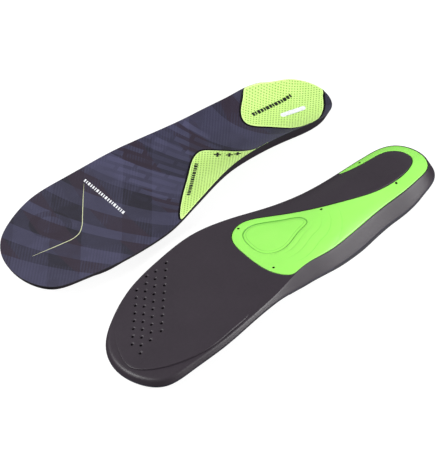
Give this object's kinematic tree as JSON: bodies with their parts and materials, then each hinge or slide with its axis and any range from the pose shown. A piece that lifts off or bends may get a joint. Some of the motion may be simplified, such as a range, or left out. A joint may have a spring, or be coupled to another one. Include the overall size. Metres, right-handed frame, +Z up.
{
  "type": "cushioned insole pair",
  "caption": "Pair of contoured sports insoles with a printed fabric cover, cushioned foam base and green arch shell; one lies sole down, the other is turned over.",
  "frame": {"origin": "centred under the pair, on the floor that both insoles lie on", "axes": "+Z up; +Y towards the heels, so the toes point along -Y; +X across, from the right insole to the left one, towards the inner side of each foot"},
  "size_m": [0.1936, 0.2723, 0.0238],
  "materials": {
    "cover_fabric": "dark navy knitted fabric with a tone-on-tone print of slanted bands",
    "patch_mesh": "yellow-green dotted mesh, satin",
    "cushion_foam": "soft open-cell foam",
    "base_foam": "moulded black EVA foam, satin with a fine grain",
    "shell_plastic": "bright green moulded plastic, satin"
  },
  "bodies": {
    "right_insole": {"right_top_cover": "cover_fabric", "right_heel_patch": "patch_mesh", "right_arch_patch": "patch_mesh", "right_cushion_layer": "cushion_foam", "right_foam_base": "base_foam", "right_arch_shell": "shell_plastic", "right_forefoot_wedge": "base_foam"},
    "left_insole": {"left_top_cover": "cover_fabric", "left_heel_patch": "patch_mesh", "left_arch_patch": "patch_mesh", "left_cushion_layer": "cushion_foam", "left_foam_base": "base_foam", "left_arch_shell": "shell_plastic", "left_forefoot_wedge": "base_foam"}
  },
  "joints": [
    {"name": "left_lift", "type": "slide", "parent": "right_insole", "child": "left_insole", "axis": [0, 0, 1], "range_m": [0, 0.06]}
  ]
}
